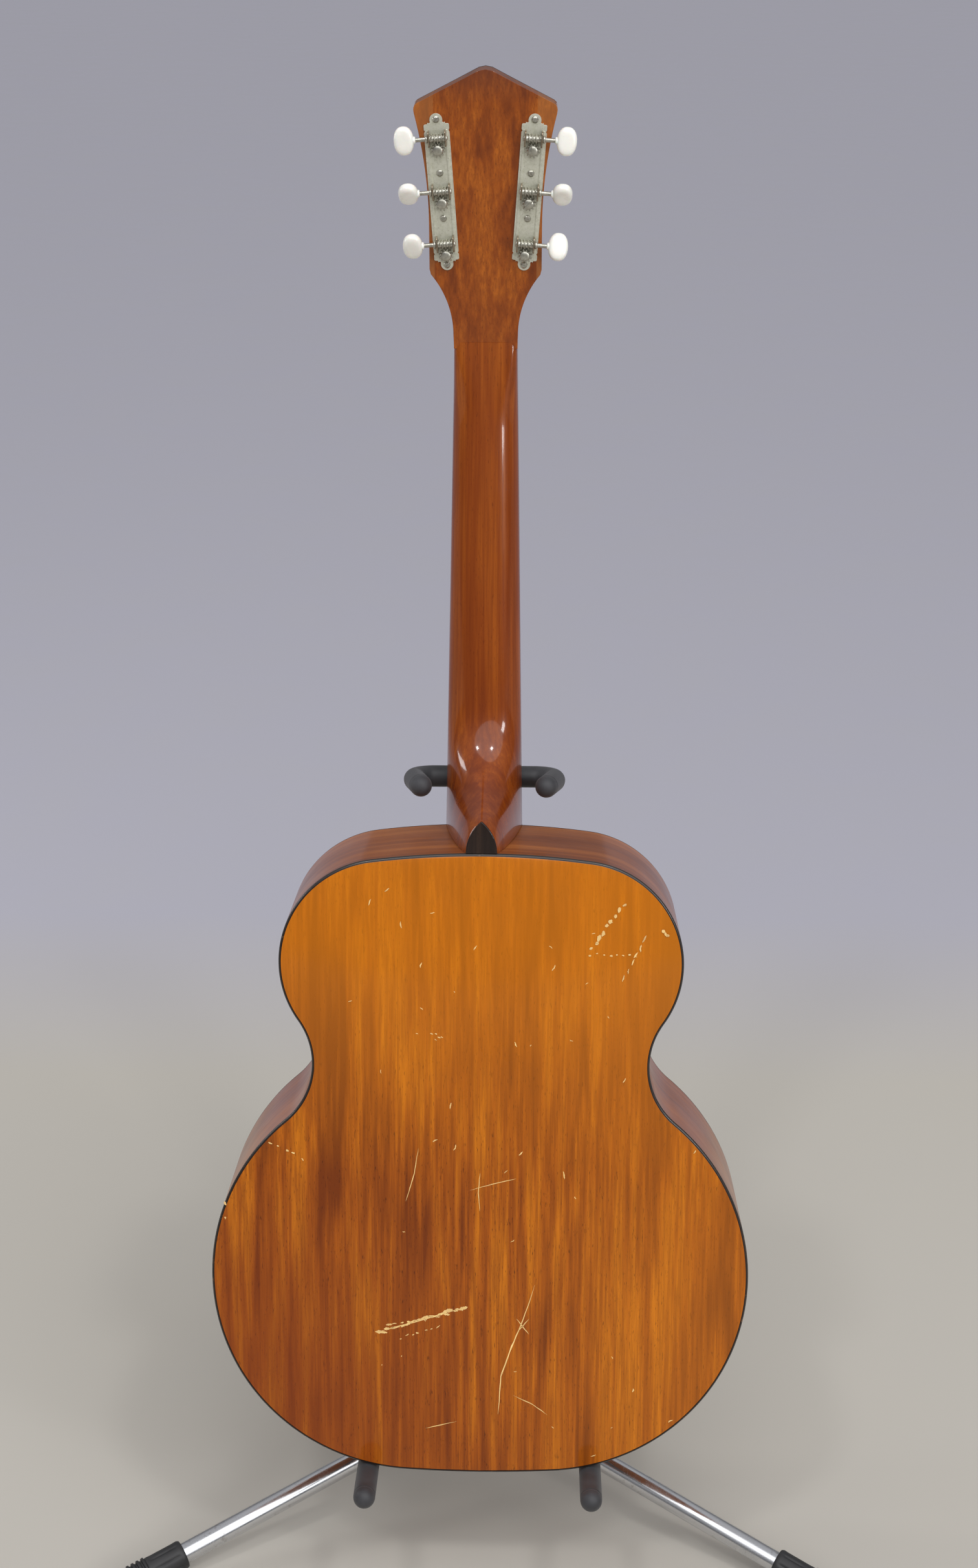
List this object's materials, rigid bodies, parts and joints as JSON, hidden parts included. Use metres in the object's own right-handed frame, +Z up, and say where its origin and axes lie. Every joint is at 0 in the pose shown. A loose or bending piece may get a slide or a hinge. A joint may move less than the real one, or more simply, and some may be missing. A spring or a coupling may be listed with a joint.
{
  "type": "guitar on stand",
  "caption": "Flat-top steel-string acoustic guitar, back to the front, resting in a folding tubular tripod stand with a cradle and a neck yoke.",
  "frame": {"origin": "centre of the bounding box at floor level", "axes": "+Z up; the cradle arms and the guitar back face -Y, the shaft and rear leg are at +Y; X runs across the guitar"},
  "size_m": [0.5562, 0.4983, 1.0709],
  "materials": {
    "spruce": "gloss lacquer",
    "mahogany_back": "gloss lacquer",
    "mahogany_ribs": "gloss lacquer",
    "mahogany_neck": "gloss lacquer",
    "raw_mahogany": "bare",
    "raw_spruce": "bare",
    "dark_binding": "gloss",
    "dark_veneer": "gloss lacquer",
    "rosewood": "oiled",
    "bone": "polished",
    "pearl": "gloss",
    "ivory_plastic": "gloss",
    "guard_plastic": "gloss",
    "fret_metal": "polished",
    "tuner_metal": "aged nickel",
    "string_metal": "wound",
    "rod_steel": "plain",
    "chrome_tube": "polished",
    "black_casting": "satin",
    "black_sleeve": "soft",
    "foot_rubber": "ribbed"
  },
  "bodies": {
    "stand": {"base_hub": "black_casting", "shaft_tube": "chrome_tube", "height_clamp": "black_casting", "cradle_rod": "chrome_tube", "cradle_sleeves": "black_sleeve", "leg_pins": "chrome_tube"},
    "yoke": {"inner_tube": "chrome_tube", "yoke_rod": "chrome_tube", "yoke_sleeve": "black_sleeve"},
    "knob": {"height_knob": "black_casting"},
    "left_leg": {"leg_left": "chrome_tube", "foot_left": "foot_rubber"},
    "right_leg": {"leg_right": "chrome_tube", "foot_right": "foot_rubber"},
    "rear_leg": {"leg_rear": "chrome_tube", "foot_rear": "foot_rubber"},
    "guitar": {"soundboard": "spruce", "back_panel": "mahogany_back", "ribs": "mahogany_ribs", "binding": "dark_binding", "linings": "raw_spruce", "end_blocks": "raw_mahogany", "soundboard_braces": "raw_spruce", "back_braces": "raw_spruce", "neck": "mahogany_neck", "heel_cap": "dark_binding", "head_veneer": "dark_veneer", "truss_rod": "rod_steel", "fretboard": "rosewood", "frets": "fret_metal", "fret_dots": "pearl", "nut": "bone", "bridge": "rosewood", "saddle": "bone", "bridge_pins": "ivory_plastic", "end_pin": "ivory_plastic", "pickguard": "guard_plastic", "rosette": "dark_binding", "strings": "string_metal", "tuner_plates": "tuner_metal", "plate_screws": "tuner_metal", "post_bushings": "fret_metal"},
    "tuner_1_knob": {"tuner_button_1": "ivory_plastic", "tuner_worm_1": "tuner_metal"},
    "tuner_1_post": {"tuner_post_1": "tuner_metal"},
    "tuner_2_knob": {"tuner_button_2": "ivory_plastic", "tuner_worm_2": "tuner_metal"},
    "tuner_2_post": {"tuner_post_2": "tuner_metal"},
    "tuner_3_knob": {"tuner_button_3": "ivory_plastic", "tuner_worm_3": "tuner_metal"},
    "tuner_3_post": {"tuner_post_3": "tuner_metal"},
    "tuner_4_knob": {"tuner_button_4": "ivory_plastic", "tuner_worm_4": "tuner_metal"},
    "tuner_4_post": {"tuner_post_4": "tuner_metal"},
    "tuner_5_knob": {"tuner_button_5": "ivory_plastic", "tuner_worm_5": "tuner_metal"},
    "tuner_5_post": {"tuner_post_5": "tuner_metal"},
    "tuner_6_knob": {"tuner_button_6": "ivory_plastic", "tuner_worm_6": "tuner_metal"},
    "tuner_6_post": {"tuner_post_6": "tuner_metal"}
  },
  "joints": [
    {"name": "height_slide", "type": "slide", "parent": "stand", "child": "yoke", "axis": [0, 0.2164, 0.9763], "range_m": [-0.016, 0.1]},
    {"name": "knob_turn", "type": "hinge", "parent": "stand", "child": "knob", "pos_m": [0, 0.00849, 0.40439], "axis": [0, 0.9763, -0.2164], "range_deg": [0, 720]},
    {"name": "leg_left_fold", "type": "hinge", "parent": "stand", "child": "left_leg", "pos_m": [-0.02252, -0.0807, 0.06387], "axis": [0.5, -0.866, 0], "range_deg": [0, 75]},
    {"name": "leg_right_fold", "type": "hinge", "parent": "stand", "child": "right_leg", "pos_m": [0.02252, -0.0807, 0.06387], "axis": [0.5, 0.866, 0], "range_deg": [0, 75]},
    {"name": "leg_rear_fold", "type": "hinge", "parent": "stand", "child": "rear_leg", "pos_m": [0, -0.0417, 0.06387], "axis": [-1, 0, 0], "range_deg": [0, 75]},
    {"name": "guitar_lift_off", "type": "slide", "parent": "stand", "child": "guitar", "axis": [0, -0.9763, 0.2164], "range_m": [0, 0.16]},
    {"name": "tuner_1_worm_turn", "type": "hinge", "parent": "guitar", "child": "tuner_1_knob", "pos_m": [-0.03219, 0.04653, 1.02641], "axis": [-0.9976, 0.0018, -0.0697], "continuous": true},
    {"name": "tuner_1_post_turn", "type": "hinge", "parent": "guitar", "child": "tuner_1_post", "pos_m": [-0.03166, 0.04673, 1.01883], "axis": [0, 0.9997, 0.0262], "continuous": true},
    {"name": "tuner_2_worm_turn", "type": "hinge", "parent": "guitar", "child": "tuner_2_knob", "pos_m": [-0.02973, 0.04745, 0.99131], "axis": [-0.9976, 0.0018, -0.0697], "continuous": true},
    {"name": "tuner_2_post_turn", "type": "hinge", "parent": "guitar", "child": "tuner_2_post", "pos_m": [-0.0292, 0.04764, 0.98373], "axis": [0, 0.9997, 0.0262], "continuous": true},
    {"name": "tuner_3_worm_turn", "type": "hinge", "parent": "guitar", "child": "tuner_3_knob", "pos_m": [-0.02728, 0.04836, 0.95621], "axis": [-0.9976, 0.0018, -0.0697], "continuous": true},
    {"name": "tuner_3_post_turn", "type": "hinge", "parent": "guitar", "child": "tuner_3_post", "pos_m": [-0.02675, 0.04856, 0.94863], "axis": [0, 0.9997, 0.0262], "continuous": true},
    {"name": "tuner_4_worm_turn", "type": "hinge", "parent": "guitar", "child": "tuner_4_knob", "pos_m": [0.03219, 0.04653, 1.02641], "axis": [0.9976, 0.0018, -0.0697], "continuous": true},
    {"name": "tuner_4_post_turn", "type": "hinge", "parent": "guitar", "child": "tuner_4_post", "pos_m": [0.03166, 0.04673, 1.01883], "axis": [0, 0.9997, 0.0262], "continuous": true},
    {"name": "tuner_5_worm_turn", "type": "hinge", "parent": "guitar", "child": "tuner_5_knob", "pos_m": [0.02973, 0.04745, 0.99131], "axis": [0.9976, 0.0018, -0.0697], "continuous": true},
    {"name": "tuner_5_post_turn", "type": "hinge", "parent": "guitar", "child": "tuner_5_post", "pos_m": [0.0292, 0.04764, 0.98373], "axis": [0, 0.9997, 0.0262], "continuous": true},
    {"name": "tuner_6_worm_turn", "type": "hinge", "parent": "guitar", "child": "tuner_6_knob", "pos_m": [0.02728, 0.04836, 0.95621], "axis": [0.9976, 0.0018, -0.0697], "continuous": true},
    {"name": "tuner_6_post_turn", "type": "hinge", "parent": "guitar", "child": "tuner_6_post", "pos_m": [0.02675, 0.04856, 0.94863], "axis": [0, 0.9997, 0.0262], "continuous": true}
  ],
  "couplings": [
    {"joint": "tuner_1_post_turn", "follows": "tuner_1_worm_turn", "ratio": -0.083333},
    {"joint": "tuner_2_post_turn", "follows": "tuner_2_worm_turn", "ratio": -0.083333},
    {"joint": "tuner_3_post_turn", "follows": "tuner_3_worm_turn", "ratio": -0.083333},
    {"joint": "tuner_4_post_turn", "follows": "tuner_4_worm_turn", "ratio": -0.083333},
    {"joint": "tuner_5_post_turn", "follows": "tuner_5_worm_turn", "ratio": -0.083333},
    {"joint": "tuner_6_post_turn", "follows": "tuner_6_worm_turn", "ratio": -0.083333}
  ]
}
